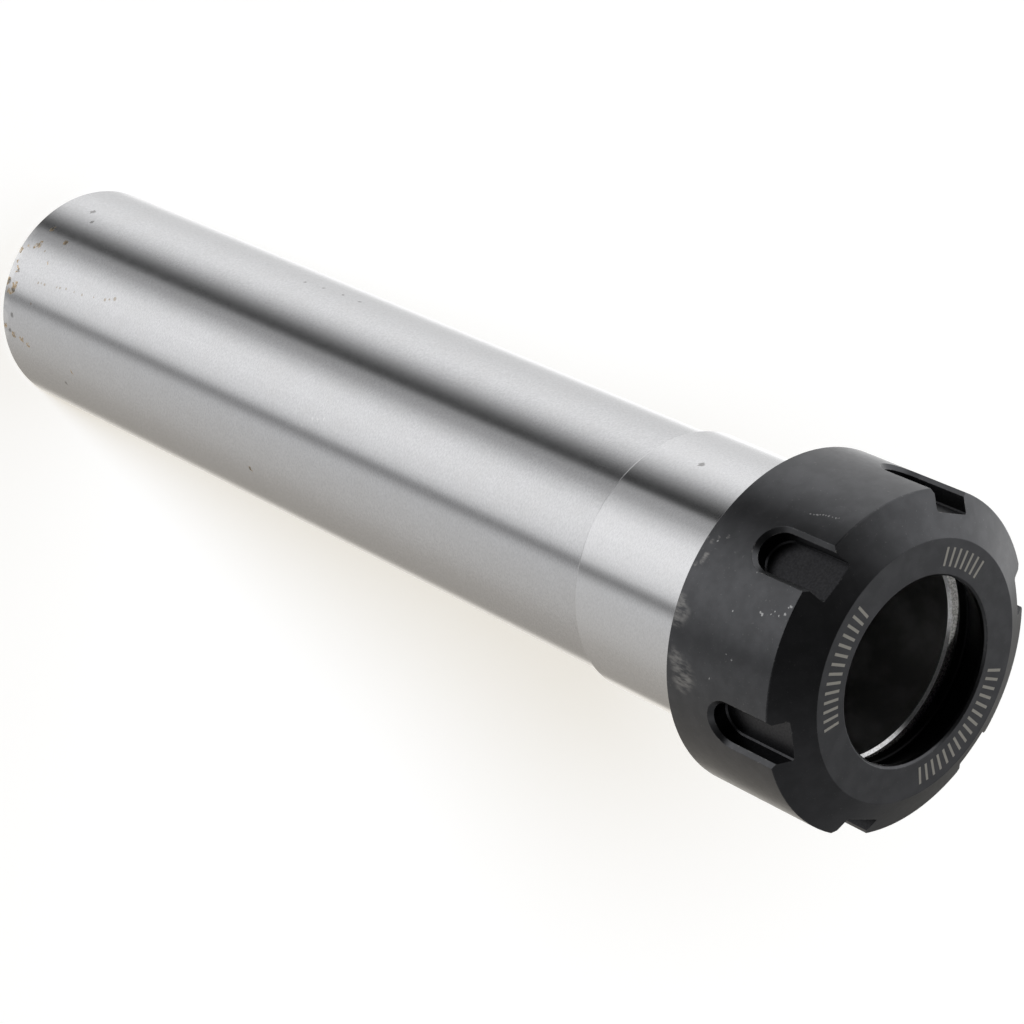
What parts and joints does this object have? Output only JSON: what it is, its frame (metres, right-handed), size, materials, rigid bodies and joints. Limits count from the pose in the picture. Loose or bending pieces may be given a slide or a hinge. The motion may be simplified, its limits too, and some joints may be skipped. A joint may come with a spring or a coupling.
{
  "type": "collet chuck holder",
  "caption": "Straight-shank holder with a tapered collet seat and a slotted clamping nut that screws along the axis, with an adjustable stop screw in the shank.",
  "frame": {"origin": "centre of the shank's rear face, on which the chuck stands", "axes": "+Z along the axis, out of the clamping nut; +X through the middle of one spanner slot"},
  "size_m": [0.05, 0.05, 0.2],
  "materials": {
    "ground_steel": "cylindrically ground, bright",
    "black_oxide_steel": "turned, satin black oxide"
  },
  "bodies": {
    "holder": {"holder": "ground_steel"},
    "extraction_ring": {"extraction_ring": "black_oxide_steel"},
    "clamping_nut": {"clamping_nut": "black_oxide_steel"},
    "stop_screw": {"stop_screw": "black_oxide_steel"}
  },
  "joints": [
    {"name": "nut_travel", "type": "slide", "parent": "holder", "child": "extraction_ring", "axis": [0, 0, 1], "range_m": [0, 0.0105]},
    {"name": "nut_turn", "type": "hinge", "parent": "extraction_ring", "child": "clamping_nut", "pos_m": [0, 0, 0.1884], "axis": [0, 0, 1], "range_deg": [0, 2520]},
    {"name": "stop_screw_travel", "type": "slide", "parent": "holder", "child": "stop_screw", "axis": [0, 0, 1], "range_m": [-0.014, 0.014]}
  ],
  "couplings": [
    {"joint": "nut_travel", "follows": "nut_turn", "m_per_rad": 0.00023873}
  ]
}
